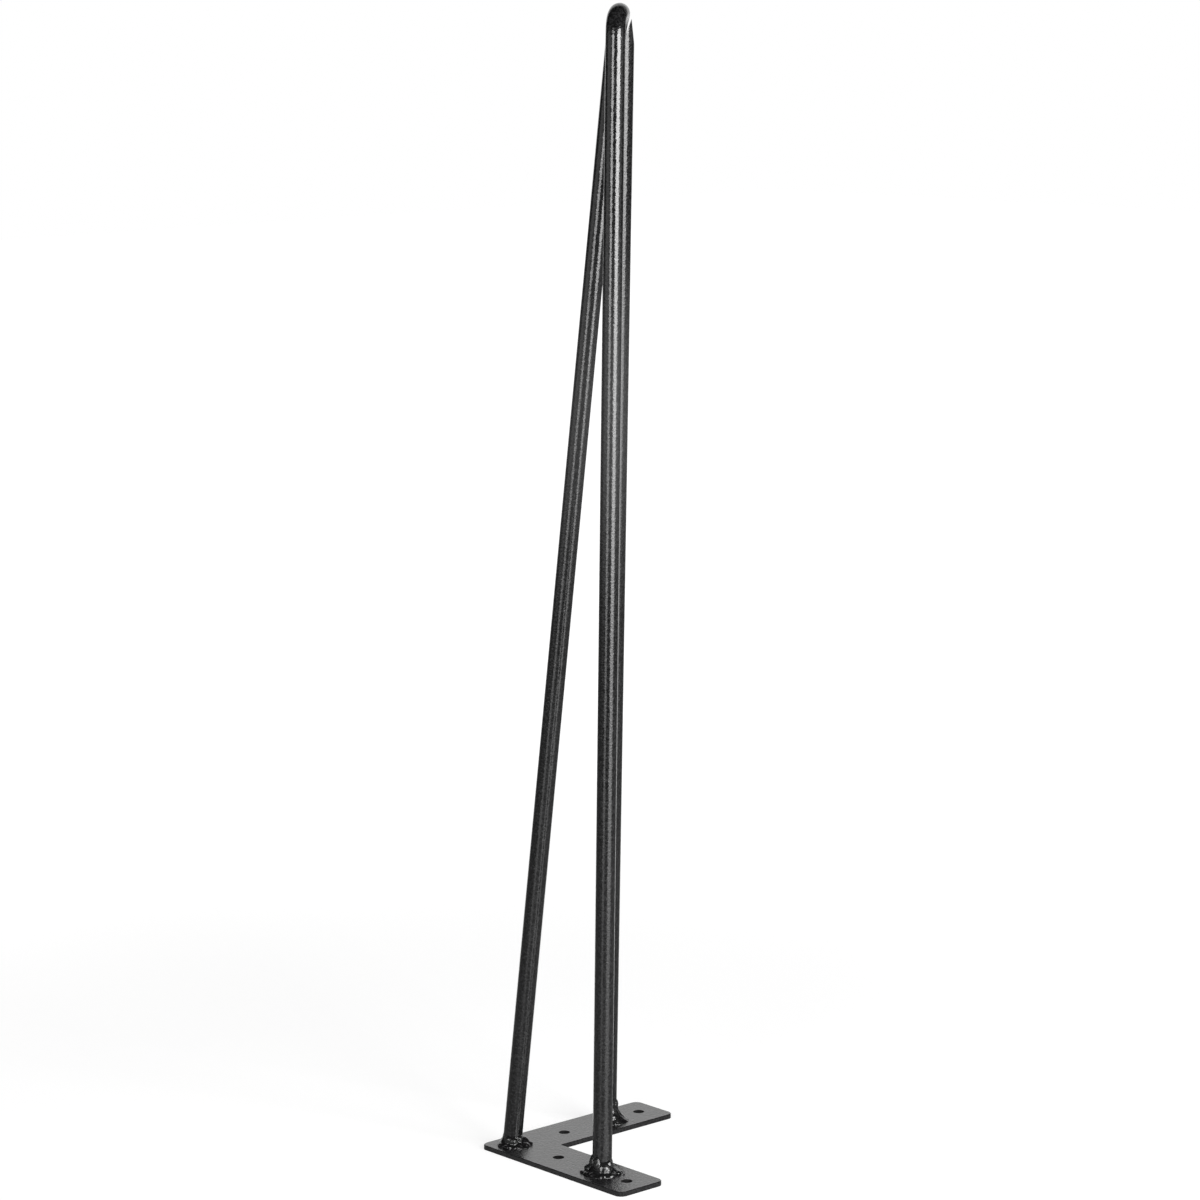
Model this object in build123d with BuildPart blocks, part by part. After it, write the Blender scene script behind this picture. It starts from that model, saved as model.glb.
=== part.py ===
from build123d import *
import os
from math import atan2, cos, degrees, radians, sin

# Three-rod hairpin table leg, standing on its mounting plate.
# The mounting face lies on Z = 0 and the foot points up. The origin is where
# the two lines of screw holes cross, X runs along one arm and Y along the other.

# Round bar and overall height
rod_d = 12.0
leg_h = 711.0           # mounting face to the outside of the foot bend

# L-shaped mounting plate
plate_t = 3.0
arm_w = 36.0
arm_len = 132.0         # outer corner to arm end
corner_r = 5.0          # outer corner and arm ends
inner_r = 0.8           # inside corner, as sheared
edge_break = 0.4        # broken top edge

# Screw holes, two on the centre line of each arm
hole_d = 7.0
near_hole = 36.0        # from the crossing of the arm centre lines
end_hole = 14.5         # from the arm's end to the far hole

# Where the rods stand on the plate
arm_rod_x = 76.8        # hairpin's end along the X arm's centre line
arm_rod_y = 72.2        # straight rod along the Y arm's centre line
corner_rod_at = -4.0    # hairpin's other end, both ways, towards the outer corner

# Foot bend of the hairpin, as offsets from its apex
foot_out = 48.5         # apex of the bend, along X and along Y
foot_turn = -41.4       # way the bend faces, in degrees from X
crown_turn = 9.6        # twist of the bend at its apex, in degrees
bend_r = 12.3
bend_drop = 14.0        # straight legs end this far under the apex
near_side = -2.6        # sideways place of the X leg where it meets the bend
near_quarter = -1.9     # and halfway up the bend
far_side = -2.2         # sideways place of the corner leg where it meets the bend
far_quarter = -0.3      # and halfway up the bend

# Straight rod, cut to a point where it lies against the bend
point_back = 20.0       # its axis at the apex, behind the bend
point_side = 3.3        # and to the side
point_drop = 3.9        # its point lies this far under the apex
point_off = 4.0         # and this far from the rod's axis
point_slope = 20.0      # of the cut that faces the hairpin, in degrees off upright
grind_slope = 5.5       # of the ground outer side

# Weld beads, as the radius of one dab of weld metal
bead_r = 5.0            # round the rods on the plate
foot_bead_r = 3.0       # in the groove between the straight rod and the hairpin
foot_bead_len = 22.0
foot_bead_drop = 26.0   # under the apex
foot_bead_in = 6.2      # from the middle of the two rods

# Extra length that is trimmed off square to the plate
trim = rod_d / 2

arm_reach = arm_len - arm_w / 2
far_hole = arm_reach - end_hole
foot_apex = Vector(foot_out, foot_out, leg_h - rod_d / 2)
ahead = Vector(1, 0, 0).rotate(Axis.Z, foot_turn)
aside = Vector(1, 0, 0).rotate(Axis.Z, foot_turn + 90)


def from_apex(forward, side, up):
    return foot_apex + ahead * forward + aside * side + Vector(0, 0, up)


base_x = Vector(arm_rod_x, 0, plate_t)
base_y = Vector(0, arm_rod_y, plate_t)
base_c = Vector(corner_rod_at, corner_rod_at, plate_t)
top_x = from_apex(bend_r, near_side, -bend_drop)
top_c = from_apex(-bend_r, far_side, -bend_drop)
up_x = (top_x - base_x).normalized()
up_c = (top_c - base_c).normalized()

# L-shaped plate with its four screw holes
with BuildPart() as mounting_plate:
    with BuildSketch() as outline:
        with Locations((arm_len / 2 - arm_w / 2, 0)):
            Rectangle(arm_len, arm_w)
        with Locations((0, arm_len / 2 - arm_w / 2)):
            Rectangle(arm_w, arm_len)
        by_reach = outline.vertices().sort_by_distance((arm_w / 2, arm_w / 2))
        fillet(by_reach[0], inner_r)
        fillet(outline.vertices().sort_by_distance((arm_w / 2, arm_w / 2))[2:], corner_r)
    extrude(amount=plate_t)
    rim = mounting_plate.faces().sort_by(Axis.Z)[-1].edges()
    chamfer(rim, edge_break)
    with Locations(
        (near_hole, 0, plate_t),
        (far_hole, 0, plate_t),
        (0, near_hole, plate_t),
        (0, far_hole, plate_t),
    ):
        Hole(hole_d / 2, plate_t)

# One bar bent to a U, from the X arm to the plate's corner
half_out = bend_r * sin(radians(45))
half_drop = half_out - bend_r
crown_way = ahead.rotate(Axis.Z, 180 - crown_turn)
with BuildPart() as hairpin_rod:
    with BuildLine() as bar_line:
        Line(base_x - up_x * trim, top_x)
        Spline(
            top_x,
            from_apex(half_out, near_quarter, half_drop),
            foot_apex,
            tangents=(up_x, crown_way),
        )
        Spline(
            foot_apex,
            from_apex(-half_out, far_quarter, half_drop),
            top_c,
            tangents=(crown_way, up_c * -1),
        )
        Line(top_c, base_c - up_c * trim)
    with BuildSketch(Plane(origin=base_x - up_x * trim, z_dir=up_x)):
        Circle(rod_d / 2)
    sweep()
    split(bisect_by=Plane.XY.offset(plate_t), keep=Keep.TOP)

# Straight rod from the Y arm, cut to a point and coped to the hairpin's corner leg
end_y = from_apex(-point_back, point_side, 0)
up_y = (end_y - base_y).normalized()
cut_way = aside * -cos(radians(point_slope)) + Vector(0, 0, sin(radians(point_slope)))
grind_way = aside * cos(radians(grind_slope)) + Vector(0, 0, sin(radians(grind_slope)))
point = from_apex(-point_back, point_side + point_off, -point_drop)
with BuildPart() as straight_rod:
    with BuildSketch(Plane(origin=base_y - up_y * trim, z_dir=up_y)):
        Circle(rod_d / 2)
    extrude(amount=(end_y - base_y).length + trim)
    split(bisect_by=Plane(origin=point, z_dir=cut_way), keep=Keep.BOTTOM)
    split(bisect_by=Plane(origin=point, z_dir=grind_way), keep=Keep.BOTTOM)
    split(bisect_by=Plane.XY.offset(plate_t), keep=Keep.TOP)
    add(hairpin_rod.part, mode=Mode.SUBTRACT)

# Weld beads: each dab is a direction round the rod in degrees, then its distance
# from the rod's side, its height and its size, in dab radii
dabs_x = [
    (5, 0.25, 1.0, 1.08),
    (52, 0.21, 0.86, 1.0),
    (103, 0.27, 0.94, 0.96),
    (150, 0.21, 0.98, 1.04),
    (196, 0.17, 1.3, 1.08),
    (236, 0.1, 2.05, 1.06),
    (281, 0.29, 0.96, 1.0),
    (324, 0.25, 0.9, 1.06),
]
dabs_y = [
    (8, 0.17, 1.4, 1.04),
    (48, 0.08, 2.4, 1.08),
    (96, 0.23, 1.0, 0.98),
    (144, 0.15, 0.88, 0.94),
    (190, 0.0, 0.96, 0.82),
    (236, -0.12, 0.9, 0.72),
    (284, 0.08, 0.94, 0.88),
    (330, 0.21, 1.1, 1.0),
]
dabs_c = [
    (8, 0.13, 0.9, 0.94),
    (58, 0.19, 1.04, 0.98),
    (110, 0.13, 0.84, 0.9),
    (158, 0.15, 0.98, 0.92),
    (205, 0.17, 1.24, 0.96),
    (252, 0.13, 0.86, 0.9),
    (300, 0.17, 1.08, 0.96),
    (342, 0.13, 0.94, 0.9),
]
dab_top = 0.42          # width of a dab's top, as a share of its foot
dab_sides = 8


def around(base, dab):
    # Upright plane of work for one dab, turned to face away from the rod
    turn, out, tall, size = dab
    reach = rod_d / 2 + out * bead_r
    away = Vector(cos(radians(turn)), sin(radians(turn)), 0)
    return Plane(origin=base + away * reach, x_dir=away, z_dir=(0, 0, 1))


def dab_slope(dab):
    turn, out, tall, size = dab
    return degrees(atan2(size * (1 - dab_top), tall))


with BuildPart() as weld_arm_x:
    for dab in dabs_x:
        with BuildSketch(around(base_x, dab)):
            RegularPolygon(dab[3] * bead_r, dab_sides)
        extrude(amount=dab[2] * bead_r, taper=dab_slope(dab))
    add(hairpin_rod.part, mode=Mode.SUBTRACT)

with BuildPart() as weld_arm_y:
    for dab in dabs_y:
        with BuildSketch(around(base_y, dab)):
            RegularPolygon(dab[3] * bead_r, dab_sides)
        extrude(amount=dab[2] * bead_r, taper=dab_slope(dab))
    add(straight_rod.part, mode=Mode.SUBTRACT)

with BuildPart() as weld_corner:
    for dab in dabs_c:
        with BuildSketch(around(base_c, dab)):
            RegularPolygon(dab[3] * bead_r, dab_sides)
        extrude(amount=dab[2] * bead_r, taper=dab_slope(dab))
    add(hairpin_rod.part, mode=Mode.SUBTRACT)

# Bead in the groove where the straight rod lies against the hairpin
spot_c = top_c - up_c * ((foot_bead_drop - bend_drop) / up_c.Z)
spot_y = end_y - up_y * (foot_bead_drop / up_y.Z)
apart = (spot_y - spot_c).normalized()
inward = up_c.cross(apart).normalized()
foot_spot = (spot_c + spot_y) / 2 + inward * foot_bead_in
with BuildPart() as weld_foot:
    with BuildSketch(Plane(origin=foot_spot - up_c * (foot_bead_len / 2), z_dir=up_c)):
        RegularPolygon(foot_bead_r, 8)
    extrude(amount=foot_bead_len)
    add(hairpin_rod.part, mode=Mode.SUBTRACT)
    add(straight_rod.part, mode=Mode.SUBTRACT)

os.makedirs("parts", exist_ok=True)
for label, piece in [
    ("mounting_plate", mounting_plate),
    ("hairpin_rod", hairpin_rod),
    ("straight_rod", straight_rod),
    ("weld_arm_x", weld_arm_x),
    ("weld_arm_y", weld_arm_y),
    ("weld_corner", weld_corner),
    ("weld_foot", weld_foot),
]:
    piece.part.label = label
    export_step(piece.part, "parts/" + label + ".step")
    print(label, len(piece.part.solids()), "solid", round(piece.part.volume), "mm3")
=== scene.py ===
import math
import bpy
from mathutils import Matrix, Quaternion, Vector


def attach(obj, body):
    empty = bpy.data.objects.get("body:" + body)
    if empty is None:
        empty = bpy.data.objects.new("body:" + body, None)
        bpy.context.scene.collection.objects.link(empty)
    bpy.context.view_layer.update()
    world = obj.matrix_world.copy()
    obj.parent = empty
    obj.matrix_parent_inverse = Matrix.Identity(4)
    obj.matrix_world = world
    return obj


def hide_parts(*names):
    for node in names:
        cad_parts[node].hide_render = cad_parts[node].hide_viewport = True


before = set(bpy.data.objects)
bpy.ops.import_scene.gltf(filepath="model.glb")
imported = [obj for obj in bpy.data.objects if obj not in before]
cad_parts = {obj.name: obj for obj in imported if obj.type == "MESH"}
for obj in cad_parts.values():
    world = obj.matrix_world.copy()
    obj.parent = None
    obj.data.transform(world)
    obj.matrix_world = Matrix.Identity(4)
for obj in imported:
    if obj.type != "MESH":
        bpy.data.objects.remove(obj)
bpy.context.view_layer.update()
print("frame loaded")

bpy.context.scene.view_settings.view_transform = "Standard"


def deselectAll():
    if bpy.context.object and bpy.context.object.mode != "OBJECT":
        bpy.ops.object.mode_set(mode="OBJECT")
    bpy.ops.object.select_all(action="DESELECT")


def addNode(nodes, kind, **values):
    node = nodes.new(kind)
    for key, value in values.items():
        setattr(node, key, value)
    return node


# camera, as the photo was taken
photoView = {
    "place": (1.7502, -1.4706, 0.7374),  # metres
    "yaw": 48.629,  # degrees from looking along +Y
    "pitch": -9.637,
    "roll": -0.594,
    "focalPixels": 3781.4,  # at 1200 pixels wide
    "imagePixels": 1200,
    "sensor": 36.0,
    "clip": (0.05, 60.0),  # metres
}


def placeCamera(view):
    yaw, pitch, roll = (math.radians(view[key]) for key in ("yaw", "pitch", "roll"))
    ahead = Vector((-math.sin(yaw) * math.cos(pitch), math.cos(yaw) * math.cos(pitch), math.sin(pitch)))
    lens = bpy.data.cameras.new("photoCamera")
    lens.sensor_fit = "HORIZONTAL"
    lens.sensor_width = view["sensor"]
    lens.lens = view["sensor"] * view["focalPixels"] / view["imagePixels"]
    lens.clip_start, lens.clip_end = view["clip"]
    holder = bpy.data.objects.new("photoCamera", lens)
    bpy.context.scene.collection.objects.link(holder)
    holder.location = view["place"]
    holder.rotation_mode = "QUATERNION"
    holder.rotation_quaternion = ahead.to_track_quat("-Z", "Y") @ Quaternion((0, 0, 1), roll)
    bpy.context.scene.camera = holder


placeCamera(photoView)
print("camera placed")

# studio: white floor and background, dark sides, two tall soft boxes beside the camera
studio = {
    "ahead": (-0.7503, 0.6611, 0.0),  # level direction from the camera to the leg, and on to the backdrop
    "middle": (0.03, 0.03, 0.0),
    # what shiny surfaces see all round: share of the way from behind the camera to the backdrop, and level
    "surround": [(0.0, 0.08), (0.12, 0.2), (0.27, 0.9), (0.48, 0.85), (0.6, 0.1), (0.9, 0.03)],
    "ceiling": (0.03, 0.35, 0.12),  # sine of the height where the sides begin to darken and end, level there
    "backdrop": (0.88, 0.95),  # where the white backdrop begins, and where it is full
    "overhead": 0.12,  # how far it leans over the leg
    "fillLevel": 0.35,  # soft light from all round on dull surfaces
    "floorSize": 14.0,
    "floorColour": (0.33, 0.33, 0.33, 1),
    "floorGlow": (0.74, 1.0),  # beside the leg and far from it
    "floorFade": (0.3, 1.5),  # metres
    # cosine from the backdrop where shiny surfaces begin to see the floor white, and where fully
    "floorShine": (0.76, 0.9),
    "floorRough": 0.9,
    "softBoxes": [
        # degrees right of the camera, distance, width, brightness, how fast it and its paper fade downwards
        ("boxRight", 41.5, 1.7, 1.14, 12.6, 1.2, 1.15),
        ("boxLeft", -26, 1.7, 0.64, 6.6, 1.6, 1.35),
    ],
    # strips of a box: foot and top in metres, share of its brightness
    "strips": [
        (0.0, 0.12, 0.3),
        (0.12, 0.24, 0.46),
        (0.24, 0.36, 0.62),
        (0.36, 0.5, 0.78),
        (0.5, 0.7, 0.92),
        (0.7, 1.2, 1.25),
    ],
    # bright paper in front of a box: near and far end as shares of its distance, share of its brightness
    "paper": [(0.04, 0.15, 0.12), (0.15, 0.4, 0.12), (0.4, 0.7, 0.16), (0.7, 0.97, 0.23)],
    "paperMiddle": (0.06, 0.005, 0.001),  # between the front rod and the plate's middle, just over the floor
}


def buildWorld(s):
    world = bpy.data.worlds.new("studioWorld")
    bpy.context.scene.world = world
    world.use_nodes = True
    nodes, links = world.node_tree.nodes, world.node_tree.links
    nodes.clear()
    out = addNode(nodes, "ShaderNodeOutputWorld")
    sky = addNode(nodes, "ShaderNodeBackground")
    sky.inputs["Color"].default_value = (1, 1, 1, 1)
    links.new(sky.outputs[0], out.inputs[0])
    way = addNode(nodes, "ShaderNodeTexCoord")
    dot = addNode(nodes, "ShaderNodeVectorMath", operation="DOT_PRODUCT")
    dot.inputs[1].default_value = s["ahead"]
    links.new(way.outputs["Generated"], dot.inputs[0])
    share = addNode(nodes, "ShaderNodeMapRange")
    share.inputs["From Min"].default_value = -1.0
    links.new(dot.outputs["Value"], share.inputs["Value"])
    ramp = addNode(nodes, "ShaderNodeValToRGB")
    ramp.color_ramp.interpolation = "EASE"
    steps = ramp.color_ramp.elements
    while len(steps) < len(s["surround"]):
        steps.new(0.5)
    for step, (place, level) in zip(steps, s["surround"]):
        step.position = place
        step.color = (level, level, level, 1)
    links.new(share.outputs[0], ramp.inputs[0])
    parts = addNode(nodes, "ShaderNodeSeparateXYZ")
    links.new(way.outputs["Generated"], parts.inputs[0])
    low, high, level = s["ceiling"]
    fade = addNode(nodes, "ShaderNodeMapRange", interpolation_type="SMOOTHSTEP")
    fade.inputs["From Min"].default_value, fade.inputs["From Max"].default_value = low, high
    fade.inputs["To Min"].default_value, fade.inputs["To Max"].default_value = 1.0, level
    links.new(parts.outputs["Z"], fade.inputs["Value"])
    sides = addNode(nodes, "ShaderNodeMath", operation="MULTIPLY")
    links.new(ramp.outputs[0], sides.inputs[0])
    links.new(fade.outputs[0], sides.inputs[1])
    upward = addNode(nodes, "ShaderNodeMath", operation="MAXIMUM")
    upward.inputs[1].default_value = 0.0
    links.new(parts.outputs["Z"], upward.inputs[0])
    lean = addNode(nodes, "ShaderNodeMath", operation="MULTIPLY_ADD")
    lean.inputs[1].default_value = s["overhead"]
    links.new(upward.outputs[0], lean.inputs[0])
    links.new(share.outputs[0], lean.inputs[2])
    white = addNode(nodes, "ShaderNodeMapRange", interpolation_type="SMOOTHSTEP")
    white.inputs["From Min"].default_value, white.inputs["From Max"].default_value = s["backdrop"]
    links.new(lean.outputs[0], white.inputs["Value"])
    around = addNode(nodes, "ShaderNodeMath", operation="MAXIMUM")
    links.new(sides.outputs[0], around.inputs[0])
    links.new(white.outputs[0], around.inputs[1])
    path = addNode(nodes, "ShaderNodeLightPath")
    shine = addNode(nodes, "ShaderNodeMix", data_type="FLOAT")  # what shiny surfaces see
    shine.inputs[2].default_value = s["fillLevel"]
    links.new(path.outputs["Is Glossy Ray"], shine.inputs[0])
    links.new(around.outputs[0], shine.inputs[3])
    seen = addNode(nodes, "ShaderNodeMix", data_type="FLOAT")  # the camera sees white
    seen.inputs[3].default_value = 1.0
    links.new(path.outputs["Is Camera Ray"], seen.inputs[0])
    links.new(shine.outputs[0], seen.inputs[2])
    links.new(seen.outputs[0], sky.inputs["Strength"])


def buildFloor(s):
    deselectAll()
    bpy.ops.mesh.primitive_plane_add(size=s["floorSize"], location=(0, 0, 0))
    floor = bpy.context.object
    floor.name = "studioFloor"
    mat = bpy.data.materials.new("studioPaper")
    mat.use_nodes = True
    nodes, links = mat.node_tree.nodes, mat.node_tree.links
    shader = nodes["Principled BSDF"]
    shader.inputs["Base Color"].default_value = s["floorColour"]
    shader.inputs["Roughness"].default_value = s["floorRough"]
    shader.inputs["Specular IOR Level"].default_value = 0.0
    shader.inputs["Emission Color"].default_value = (1, 1, 1, 1)
    where = addNode(nodes, "ShaderNodeTexCoord")
    far = addNode(nodes, "ShaderNodeVectorMath", operation="LENGTH")
    links.new(where.outputs["Object"], far.inputs[0])
    fade = addNode(nodes, "ShaderNodeMapRange", interpolation_type="SMOOTHSTEP")
    fade.inputs["From Min"].default_value, fade.inputs["From Max"].default_value = s["floorFade"]
    fade.inputs["To Min"].default_value, fade.inputs["To Max"].default_value = s["floorGlow"]
    links.new(far.outputs["Value"], fade.inputs["Value"])
    path = addNode(nodes, "ShaderNodeLightPath")
    glow = addNode(nodes, "ShaderNodeMath", operation="MULTIPLY")
    links.new(fade.outputs[0], glow.inputs[1])
    links.new(path.outputs["Is Camera Ray"], glow.inputs[0])
    behind = addNode(nodes, "ShaderNodeVectorMath", operation="DOT_PRODUCT")
    behind.inputs[1].default_value = s["ahead"]
    outward = addNode(nodes, "ShaderNodeVectorMath", operation="NORMALIZE")
    links.new(where.outputs["Object"], outward.inputs[0])
    links.new(outward.outputs[0], behind.inputs[0])
    rise = addNode(nodes, "ShaderNodeMapRange", interpolation_type="SMOOTHSTEP")
    rise.inputs["From Min"].default_value, rise.inputs["From Max"].default_value = s["floorShine"]
    links.new(behind.outputs["Value"], rise.inputs["Value"])
    both = addNode(nodes, "ShaderNodeMath", operation="MULTIPLY_ADD")
    links.new(rise.outputs[0], both.inputs[0])
    links.new(path.outputs["Is Glossy Ray"], both.inputs[1])
    links.new(glow.outputs[0], both.inputs[2])
    links.new(both.outputs[0], shader.inputs["Emission Strength"])
    floor.data.materials.append(mat)


def addStrip(name, place, aim, size, bright, along=Vector((0, 0, 1))):
    lamp = bpy.data.lights.new(name, "AREA")
    lamp.shape = "RECTANGLE"
    lamp.size, lamp.size_y = size
    lamp.energy = bright * math.pi * size[0] * size[1]  # watts for that brightness
    holder = bpy.data.objects.new(name, lamp)
    bpy.context.scene.collection.objects.link(holder)
    side = along.cross(-aim)
    turn = Matrix((side, along, -aim)).transposed()
    holder.matrix_world = Matrix.Translation(place) @ turn.to_4x4()


def buildBoxes(s):
    ahead = Vector(s["ahead"])
    right = Vector((ahead.y, -ahead.x, 0))
    middle = Vector(s["middle"])
    for name, turn, away, wide, bright, power, paperPower in s["softBoxes"]:
        angle = math.radians(turn)
        out = -ahead * math.cos(angle) + right * math.sin(angle)
        for foot, top, share in s["strips"]:
            place = middle + out * away + Vector((0, 0, (foot + top) / 2))
            addStrip(name, place, -out, (wide, top - foot), bright * share**power)
        for near, far, share in s["paper"]:
            place = Vector(s["paperMiddle"]) + out * away * (near + far) / 2
            across = wide * (near + far) / 2
            size = (across, (far - near) * away)
            addStrip(name + "Paper", place, Vector((0, 0, 1)), size, bright * share**paperPower, out)


buildWorld(studio)
buildFloor(studio)
buildBoxes(studio)
print("studio built")


# fine sprayed grain that all coated surfaces share
sprayedCoat = {
    "ior": 1.55,
    "bumpDistance": 0.0004,  # metres
    "fineDetail": 2.0,
    "fineRoughness": 0.55,
    "peelDetail": 1.0,
    "peelScale": 0.22,  # orange peel under the grain, against the grain's own scale
    "peelShare": 0.15,
    "speckRange": (0.42, 0.72),  # of the fine grain
}


def grainGroup(c):
    group = bpy.data.node_groups.new("coatGrain", "ShaderNodeTree")
    face = group.interface
    face.new_socket("Grain Size", in_out="INPUT", socket_type="NodeSocketFloat")
    face.new_socket("Depth", in_out="INPUT", socket_type="NodeSocketFloat")
    face.new_socket("Height", in_out="OUTPUT", socket_type="NodeSocketFloat")
    face.new_socket("Speck", in_out="OUTPUT", socket_type="NodeSocketFloat")
    nodes, links = group.nodes, group.links
    given = nodes.new("NodeGroupInput")
    result = nodes.new("NodeGroupOutput")
    where = addNode(nodes, "ShaderNodeTexCoord")
    perMetre = addNode(nodes, "ShaderNodeMath", operation="DIVIDE")
    perMetre.inputs[0].default_value = 1.0
    links.new(given.outputs["Grain Size"], perMetre.inputs[1])
    fine = addNode(nodes, "ShaderNodeTexNoise")
    fine.inputs["Detail"].default_value = c["fineDetail"]
    fine.inputs["Roughness"].default_value = c["fineRoughness"]
    links.new(where.outputs["Object"], fine.inputs["Vector"])
    links.new(perMetre.outputs[0], fine.inputs["Scale"])
    broadScale = addNode(nodes, "ShaderNodeMath", operation="MULTIPLY")
    broadScale.inputs[1].default_value = c["peelScale"]
    links.new(perMetre.outputs[0], broadScale.inputs[0])
    broad = addNode(nodes, "ShaderNodeTexNoise")
    broad.inputs["Detail"].default_value = c["peelDetail"]
    links.new(where.outputs["Object"], broad.inputs["Vector"])
    links.new(broadScale.outputs[0], broad.inputs["Scale"])
    both = addNode(nodes, "ShaderNodeMath", operation="MULTIPLY_ADD")
    both.inputs[1].default_value = c["peelShare"]
    links.new(broad.outputs["Fac"], both.inputs[0])
    links.new(fine.outputs["Fac"], both.inputs[2])
    deep = addNode(nodes, "ShaderNodeMath", operation="MULTIPLY")
    links.new(both.outputs[0], deep.inputs[0])
    links.new(given.outputs["Depth"], deep.inputs[1])
    links.new(deep.outputs[0], result.inputs["Height"])
    speck = addNode(nodes, "ShaderNodeMapRange")
    speck.inputs["From Min"].default_value, speck.inputs["From Max"].default_value = c["speckRange"]
    links.new(fine.outputs["Fac"], speck.inputs["Value"])
    links.new(speck.outputs[0], result.inputs["Speck"])
    return group


coatGrain = grainGroup(sprayedCoat)

coats = {
    # dark and pale of the coat, roughness low and high, grain size, depth, bump
    "rodCoat": dict(
        dark=0.002, pale=0.022, smooth=0.07, rough=0.15, grain=0.0013, depth=0.8, bump=0.42,
        # painted light as a paler band round the middle height, where the coat is also duller: height, half
        # height, added colour, added roughness
        paintedLightDullBand=(0.465, 0.135, 0.022, 0.06),
    ),
    "plateCoat": dict(
        dark=0.008, pale=0.026, smooth=0.10, rough=0.18, grain=0.0014, depth=0.8, bump=0.8,
        # near-black painted shade inside the screw holes
        holes=[(0.036, 0.0), (0.0995, 0.0), (0.0, 0.036), (0.0, 0.0995)], holeRadius=0.0036, holeShadeColour=0.001,
    ),
    "weldCoat": dict(dark=0.004, pale=0.008, smooth=0.14, rough=0.24, grain=0.0016, depth=0.35, bump=0.15),
}


# painted light as a paler band round one height, where the coat is also duller
def addPaintedLightDullBand(nodes, links, shader, colour, dull, paintedLightDullBand):
    height, reach, pale, rough = paintedLightDullBand
    where = addNode(nodes, "ShaderNodeTexCoord")
    parts = addNode(nodes, "ShaderNodeSeparateXYZ")
    links.new(where.outputs["Object"], parts.inputs[0])
    off = addNode(nodes, "ShaderNodeMath", operation="SUBTRACT")
    off.inputs[1].default_value = height
    links.new(parts.outputs["Z"], off.inputs[0])
    away = addNode(nodes, "ShaderNodeMath", operation="ABSOLUTE")
    links.new(off.outputs[0], away.inputs[0])
    paintedLightDullMask = addNode(nodes, "ShaderNodeMapRange", interpolation_type="SMOOTHSTEP")
    paintedLightDullMask.inputs["From Max"].default_value = reach
    paintedLightDullMask.inputs["To Min"].default_value, paintedLightDullMask.inputs["To Max"].default_value = 1.0, 0.0
    links.new(away.outputs[0], paintedLightDullMask.inputs["Value"])
    # painted light: colour added to the coat round that height
    paintedLighter = addNode(nodes, "ShaderNodeMix", data_type="RGBA", blend_type="ADD")
    paintedLighter.inputs[7].default_value = (pale, pale, pale, 1)
    links.new(paintedLightDullMask.outputs[0], paintedLighter.inputs[0])
    links.new(colour, paintedLighter.inputs[6])
    links.new(paintedLighter.outputs[2], shader.inputs["Base Color"])
    duller = addNode(nodes, "ShaderNodeMath", operation="MULTIPLY_ADD")
    duller.inputs[1].default_value = rough
    links.new(paintedLightDullMask.outputs[0], duller.inputs[0])
    links.new(dull, duller.inputs[2])
    links.new(duller.outputs[0], shader.inputs["Roughness"])


# painted shade inside the screw holes, as a mask; the coat there is also fully rough
def holeShade(nodes, links, holes, radius):
    where = addNode(nodes, "ShaderNodeTexCoord")
    flat = addNode(nodes, "ShaderNodeVectorMath", operation="MULTIPLY")
    flat.inputs[1].default_value = (1, 1, 0)
    links.new(where.outputs["Object"], flat.inputs[0])
    nearest = None
    for x, y in holes:
        away = addNode(nodes, "ShaderNodeVectorMath", operation="DISTANCE")
        away.inputs[1].default_value = (x, y, 0)
        links.new(flat.outputs[0], away.inputs[0])
        if nearest is None:
            nearest = away.outputs["Value"]
            continue
        least = addNode(nodes, "ShaderNodeMath", operation="MINIMUM")
        links.new(nearest, least.inputs[0])
        links.new(away.outputs["Value"], least.inputs[1])
        nearest = least.outputs[0]
    inside = addNode(nodes, "ShaderNodeMath", operation="LESS_THAN")
    inside.inputs[1].default_value = radius
    links.new(nearest, inside.inputs[0])
    return inside.outputs[0]


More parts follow.
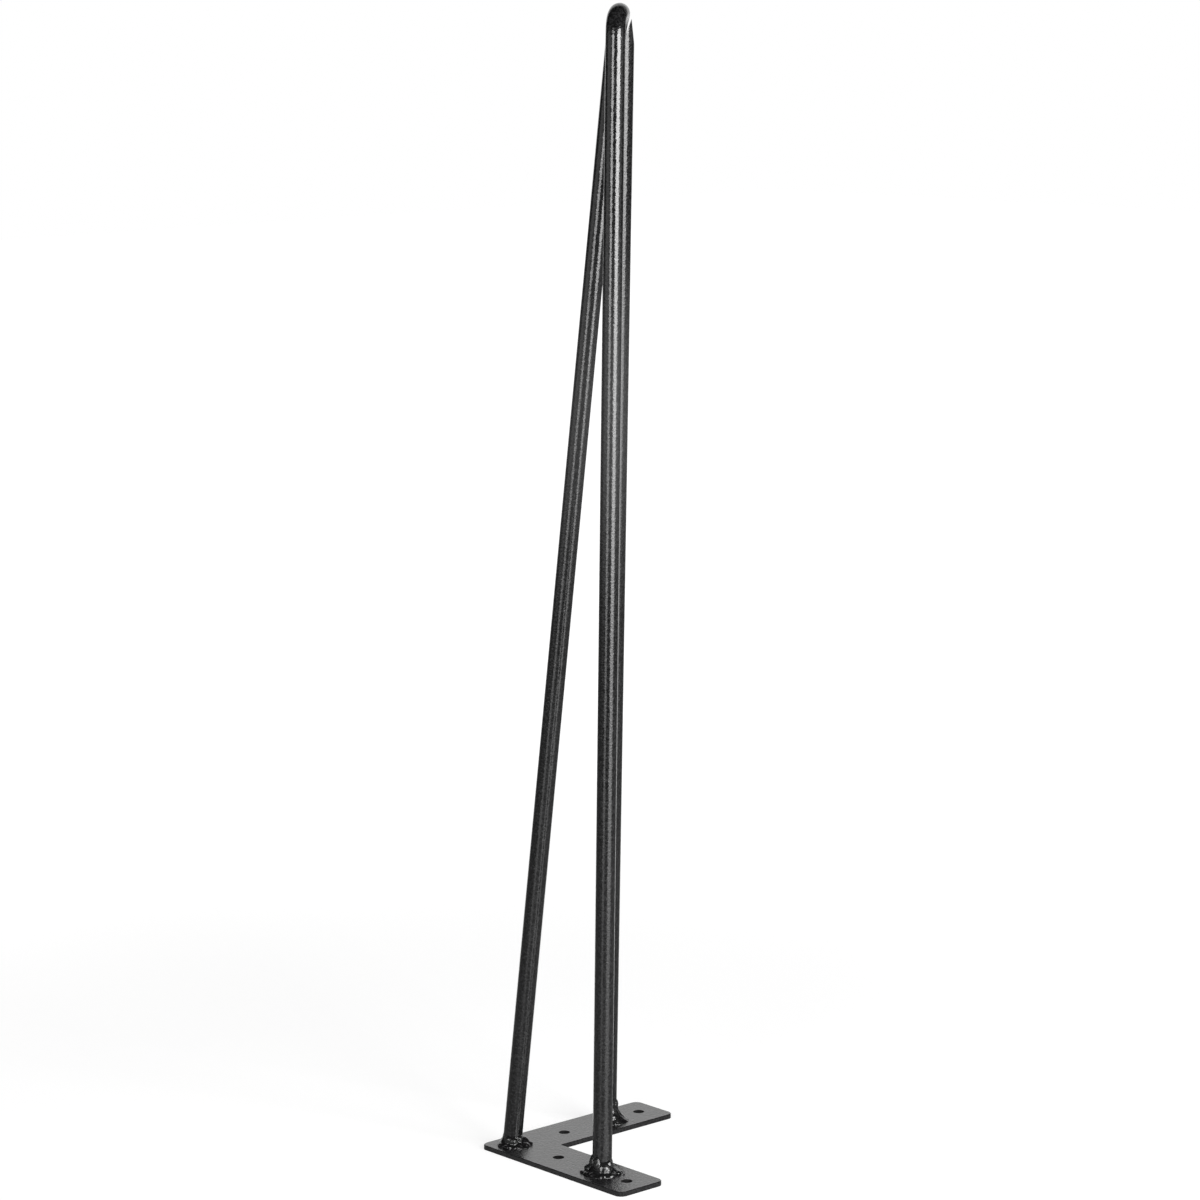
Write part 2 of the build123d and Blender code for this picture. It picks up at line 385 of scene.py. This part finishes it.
def coatMaterial(name, c):
    mat = bpy.data.materials.new(name)
    mat.use_nodes = True
    nodes, links = mat.node_tree.nodes, mat.node_tree.links
    shader = nodes["Principled BSDF"]
    shader.inputs["IOR"].default_value = sprayedCoat["ior"]
    grain = addNode(nodes, "ShaderNodeGroup", node_tree=coatGrain)
    grain.inputs["Grain Size"].default_value = c["grain"]
    grain.inputs["Depth"].default_value = c["depth"]
    colour = addNode(nodes, "ShaderNodeMix", data_type="RGBA")
    colour.inputs[6].default_value = (c["dark"], c["dark"], c["dark"] * 1.03, 1)
    colour.inputs[7].default_value = (c["pale"], c["pale"], c["pale"] * 1.03, 1)
    links.new(grain.outputs["Speck"], colour.inputs[0])
    links.new(colour.outputs[2], shader.inputs["Base Color"])
    dull = addNode(nodes, "ShaderNodeMapRange")
    dull.inputs["To Min"].default_value = c["rough"]
    dull.inputs["To Max"].default_value = c["smooth"]
    links.new(grain.outputs["Speck"], dull.inputs["Value"])
    links.new(dull.outputs[0], shader.inputs["Roughness"])
    bump = addNode(nodes, "ShaderNodeBump")
    bump.inputs["Strength"].default_value = c["bump"]
    bump.inputs["Distance"].default_value = sprayedCoat["bumpDistance"]
    links.new(grain.outputs["Height"], bump.inputs["Height"])
    links.new(bump.outputs[0], shader.inputs["Normal"])
    # painted light band on the rods, with a duller coat there
    if "paintedLightDullBand" in c:
        addPaintedLightDullBand(nodes, links, shader, colour.outputs[2], dull.outputs[0], c["paintedLightDullBand"])
    if "holes" in c:
        shade = holeShade(nodes, links, c["holes"], c["holeRadius"])
        # painted shade: near-black colour inside the screw holes, and the coat fully rough there
        paintedHoleShade = addNode(nodes, "ShaderNodeMix", data_type="RGBA")
        paintedHoleShade.inputs[7].default_value = (c["holeShadeColour"], c["holeShadeColour"], c["holeShadeColour"], 1)
        links.new(shade, paintedHoleShade.inputs[0])
        links.new(colour.outputs[2], paintedHoleShade.inputs[6])
        links.new(paintedHoleShade.outputs[2], shader.inputs["Base Color"])
        duller = addNode(nodes, "ShaderNodeMath", operation="MAXIMUM")
        links.new(shade, duller.inputs[0])
        links.new(dull.outputs[0], duller.inputs[1])
        links.new(duller.outputs[0], shader.inputs["Roughness"])
    return mat


finish = {name: coatMaterial(name, c) for name, c in coats.items()}
for name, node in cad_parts.items():
    kind = "plateCoat" if name == "mounting_plate" else "rodCoat" if name.endswith("_rod") else "weldCoat"
    for slot in node.material_slots:
        slot.material = finish[kind]
print("coats made")

# weld beads, each a hollow skirt round the rod with lumps on it
rodRadius = 0.006
plateTop = 0.003
weldSteel = {
    "voxel": 0.00036,  # metres
    "scale": (0.0030, 0.0005),  # chilled scale: size and height
    "ripple": (0.0013, 0.0003),  # fine ripple: size and height
    "smoothing": (0.4, 2),  # factor and rounds
    "sharpEdge": 50,  # degrees
    "cutterSides": 96,
    "cutterLength": 0.06,
    "cutterUnder": 0.00005,  # how much thinner it is than the rod
    "lumpDetail": 3,
    "skirtSides": 48,
    "skirtDisc": 0.002,  # thickness of the disc that it starts from
    "skirtSunk": 0.0008,  # so that only a thin toe shows
    "skirtOver": 0.0003,  # at the top, out from the rod
    "skirtCurve": 2.4,  # of the hollow fillet that closes in on the rod
    "skirtSteps": (0.12, 0.25, 0.4, 0.55, 0.75, 1.0),
}
weldBeads = {
    # lumps: turn round the rod in degrees, then in millimetres out, up and half sizes out, along and up,
    # then the lean in degrees
    "weldArmX": {
        "node": "weld_arm_x",
        "base": (0.0768, 0.0, plateTop),
        "aim": (0.0560, 0.0384, 0.691),
        "shift": (0.0002, -0.0004),
        "skirt": (0.0122, 0.0080),
        "lumps": [
            (-131, 5.9, 6.8, 2.0, 3.6, 4.9, -3),  # bead that climbs the rod at the left
            (-132, 8.4, 3.0, 2.8, 3.4, 2.6, -15),
            (-72, 6.5, 6.9, 1.7, 2.3, 4.8, -12),
            (-26, 6.6, 4.0, 2.5, 4.6, 4.6, -24),  # broad face that shines
            (2, 6.5, 5.8, 1.7, 2.2, 3.2, -14),
            (-133, 10.4, 0.5, 3.4, 3.4, 1.2, 0),
            (-104, 9.6, 0.8, 2.4, 2.8, 1.5, 0),
            (-76, 10.0, 0.9, 2.1, 2.3, 1.5, 0),
            (-40, 10.4, 0.8, 2.1, 2.8, 1.4, 0),
            (-8, 10.4, 0.7, 2.0, 2.6, 1.3, 0),
            (28, 10.4, 0.8, 2.0, 2.4, 1.4, 0),
            (70, 6.8, 2.4, 1.8, 3.2, 2.6, -10),
            (116, 7.2, 2.6, 2.2, 3.8, 2.8, -10),
            (160, 7.2, 3.0, 2.2, 3.8, 3.2, -10),
            (196, 7.0, 3.2, 2.2, 3.4, 3.6, -8),
            (49, 12.4, 0.2, 0.8, 0.7, 0.7, 0),  # spatter
            (30, 14.2, 0.1, 0.7, 0.7, 0.6, 0),
        ],
    },
    "weldArmY": {
        "node": "weld_arm_y",
        "base": (0.0, 0.0722, plateTop),
        "aim": (0.0357, 0.0642, 0.705),
        "shift": (0.0019, 0.0022),
        "skirt": (0.0110, 0.0128),
        "lumps": [
            (46, 5.5, 10.6, 1.6, 3.6, 4.4, -3),  # bead that climbs the rod at the right
            (44, 7.4, 2.8, 2.0, 4.4, 3.0, -20),
            (50, 11.4, 0.2, 2.6, 2.6, 0.7, 0),
            (16, 10.0, 0.5, 2.0, 2.4, 1.2, 0),
            (-10, 7.5, 3.6, 2.1, 2.5, 2.6, -16),
            (-12, 9.9, 0.5, 2.0, 2.3, 1.3, 0),
            (-46, 7.6, 1.4, 2.2, 3.2, 2.4, -8),
            (-84, 6.8, 1.8, 2.0, 3.0, 2.4, -8),
            (90, 7.8, 2.4, 2.6, 3.4, 2.8, -10),
            (132, 6.8, 2.4, 2.2, 3.6, 2.8, -8),
            (176, 6.2, 2.4, 2.0, 3.4, 2.8, -8),
            (222, 6.2, 2.0, 1.9, 3.0, 2.6, -8),
        ],
    },
    "weldCorner": {
        "node": "weld_corner",
        "base": (-0.004, -0.004, plateTop),
        "aim": (0.0378, 0.0550, 0.691),
        "shift": (0.0017, 0.0008),
        "skirt": (0.0110, 0.0064),
        "lumps": [
            (-66, 6.4, 4.6, 1.6, 2.5, 2.6, -16),
            (-38, 6.8, 3.6, 1.9, 2.7, 2.6, -22),
            (4, 6.4, 4.7, 1.7, 2.3, 2.6, -14),
            (46, 7.2, 1.6, 3.4, 4.0, 3.4, -28),  # heap at the right
            (46, 10.6, 0.5, 2.6, 3.2, 1.5, 0),
            (20, 9.6, 0.8, 2.4, 2.8, 1.8, 0),
            (-20, 10.2, 0.7, 2.0, 2.8, 1.4, 0),
            (-58, 9.6, 0.8, 2.0, 3.0, 1.5, 0),
            (-100, 8.0, 0.8, 1.8, 2.6, 1.3, 0),
            (90, 7.0, 2.4, 2.2, 3.4, 2.6, -10),
            (132, 6.8, 2.2, 2.0, 3.6, 2.6, -8),
            (174, 6.4, 2.4, 1.8, 3.4, 2.8, -8),
            (206, 6.3, 1.8, 1.5, 2.8, 2.2, -8),
        ],
    },
}
footSeam = {
    "node": "weld_foot",
    "middle": (0.02974, 0.05768, 0.6795),
    "along": (0.0605, 0.0853, 0.9945),  # up the hairpin's corner leg
    "apart": (-0.2507, 0.9681, 0.0),  # from the hairpin to the straight rod
    # rods it joins: a point on the axis and its direction
    "rods": [
        ((0.0370894, 0.0539551, 0.679), (0.0605, 0.0853, 0.9945)),
        ((0.0343586, 0.0644978, 0.679), (0.0508, -0.0114, 0.9986)),
    ],
    # ripples in millimetres: along, apart, into the groove, half sizes apart, in, along
    "lumps": [
        (-9.4, 0.0, 0.7, 1.9, 2.0, 2.2),
        (-6.6, 0.2, 0.2, 2.4, 2.2, 2.6),
        (-3.6, -0.2, 0.1, 2.5, 2.3, 2.6),
        (-0.6, 0.1, 0.0, 2.6, 2.4, 2.6),
        (2.4, 0.2, 0.1, 2.5, 2.3, 2.6),
        (5.4, -0.1, 0.1, 2.6, 2.3, 2.7),
        (8.4, 0.0, 0.5, 2.2, 2.1, 2.3),
    ],
}


def faceSelect(piece, test):
    bpy.ops.object.mode_set(mode="OBJECT")
    for face in piece.data.polygons:
        face.select = test(face)
    bpy.ops.object.mode_set(mode="EDIT")


def applyModifier(piece, kind, **values):
    step = piece.modifiers.new(kind.lower(), kind)
    for key, value in values.items():
        setattr(step, key, value)
    bpy.context.view_layer.objects.active = piece
    bpy.ops.object.modifier_apply(modifier=step.name)


def reliefTexture(name, kind, size):
    texture = bpy.data.textures.new(name, kind)
    texture.noise_scale = size
    return texture


weldScale = reliefTexture("weldScale", "VORONOI", weldSteel["scale"][0])
weldRipple = reliefTexture("weldRipple", "CLOUDS", weldSteel["ripple"][0])


def beadSkirt(bead, base, lean):
    foot, tall = bead["skirt"]
    shift = Vector((*bead["shift"], 0))
    sunk = Vector((0, 0, weldSteel["skirtSunk"]))
    deselectAll()
    bpy.ops.mesh.primitive_cylinder_add(
        vertices=weldSteel["skirtSides"],
        radius=foot,
        depth=weldSteel["skirtDisc"],
        location=base + shift - sunk,
    )
    skirt = bpy.context.object
    bpy.ops.object.transform_apply(location=True, rotation=True, scale=True)
    bpy.ops.object.mode_set(mode="EDIT")
    bpy.ops.mesh.select_mode(type="FACE")
    faceSelect(skirt, lambda face: face.normal.z > 0.9)
    wide, here = foot, base + shift
    for share in weldSteel["skirtSteps"]:
        closing = (1 - share) ** weldSteel["skirtCurve"]
        narrow = rodRadius + weldSteel["skirtOver"] + (foot - rodRadius) * closing
        there = base + shift * closing + lean * tall * share
        bpy.ops.mesh.extrude_region_move(TRANSFORM_OT_translate={"value": there - here})
        bpy.ops.transform.resize(value=(narrow / wide, narrow / wide, 1), center_override=there)
        wide, here = narrow, there
    bpy.ops.object.mode_set(mode="OBJECT")
    return skirt


def addLump(spot, turn, half):
    deselectAll()
    bpy.ops.mesh.primitive_ico_sphere_add(
        subdivisions=weldSteel["lumpDetail"],
        radius=1,
        location=spot,
        rotation=turn,
        scale=[size / 1000 for size in half],
    )
    return bpy.context.object


def ringLumps(bead, base, lean):
    lumps = []
    for turn, out, up, deep, along, tall, tip in bead["lumps"]:
        angle = math.radians(turn)
        away = Vector((math.cos(angle), math.sin(angle), 0))
        spot = base + away * out / 1000 + lean * up / 1000
        lumps.append(addLump(spot, (0, math.radians(tip), angle), (deep, along, tall)))
    return lumps


def seamLumps(seam):
    along, apart = Vector(seam["along"]), Vector(seam["apart"])
    inner = apart.cross(along)
    turn = Matrix((apart, -inner, along)).transposed().to_euler()
    lumps = []
    for up, side, deep, *half in seam["lumps"]:
        spot = Vector(seam["middle"]) + (along * up + apart * side + inner * deep) / 1000
        lumps.append(addLump(spot, turn, half))
    return lumps


def rodCutter(place, lean):
    deselectAll()
    bpy.ops.mesh.primitive_cylinder_add(
        vertices=weldSteel["cutterSides"],
        radius=rodRadius - weldSteel["cutterUnder"],
        depth=weldSteel["cutterLength"],
        location=place,
    )
    cutter = bpy.context.object
    cutter.rotation_mode = "QUATERNION"
    cutter.rotation_quaternion = lean.to_track_quat("Z", "Y")
    bpy.ops.object.transform_apply(location=True, rotation=True, scale=True)
    return cutter


def fuseBead(name, node, lumps, rods, onPlate):
    deselectAll()
    for lump in lumps:
        lump.select_set(True)
    bpy.context.view_layer.objects.active = lumps[0]
    bpy.ops.object.join()
    piece = bpy.context.object
    bpy.ops.object.transform_apply(location=True, rotation=True, scale=True)
    piece.name = piece.data.name = name
    applyModifier(piece, "REMESH", mode="VOXEL", voxel_size=weldSteel["voxel"])
    for texture, height in ((weldScale, weldSteel["scale"][1]), (weldRipple, weldSteel["ripple"][1])):
        applyModifier(
            piece, "DISPLACE", texture=texture, texture_coords="GLOBAL", strength=height, mid_level=0.5
        )
    factor, rounds = weldSteel["smoothing"]
    applyModifier(piece, "SMOOTH", factor=factor, iterations=rounds)
    if onPlate:  # before the rods are cut out, so that the flat side closes over whole
        bpy.ops.object.mode_set(mode="EDIT")
        bpy.ops.mesh.select_all(action="SELECT")
        bpy.ops.mesh.bisect(
            plane_co=(0, 0, plateTop), plane_no=(0, 0, 1), use_fill=True, clear_inner=True, threshold=0.000001
        )
        bpy.ops.object.mode_set(mode="OBJECT")
    for place, lean in rods:
        cutter = rodCutter(place, lean)
        applyModifier(piece, "BOOLEAN", operation="DIFFERENCE", object=cutter, solver="EXACT")
        bpy.data.objects.remove(cutter)
    deselectAll()
    piece.select_set(True)
    bpy.context.view_layer.objects.active = piece
    bpy.ops.object.shade_smooth_by_angle(angle=math.radians(weldSteel["sharpEdge"]))
    piece.data.materials.append(finish["weldCoat"])
    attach(piece, "root")
    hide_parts(node)
    print(name, len(piece.data.polygons), "faces")


for name, bead in weldBeads.items():
    base = Vector(bead["base"])
    lean = (Vector(bead["aim"]) - base).normalized()
    lumps = [beadSkirt(bead, base, lean)] + ringLumps(bead, base, lean)
    fuseBead(name, bead["node"], lumps, [(base, lean)], True)
seamRods = [(Vector(place), Vector(lean)) for place, lean in footSeam["rods"]]
fuseBead("weldFoot", footSeam["node"], seamLumps(footSeam), seamRods, False)
print("welds laid")
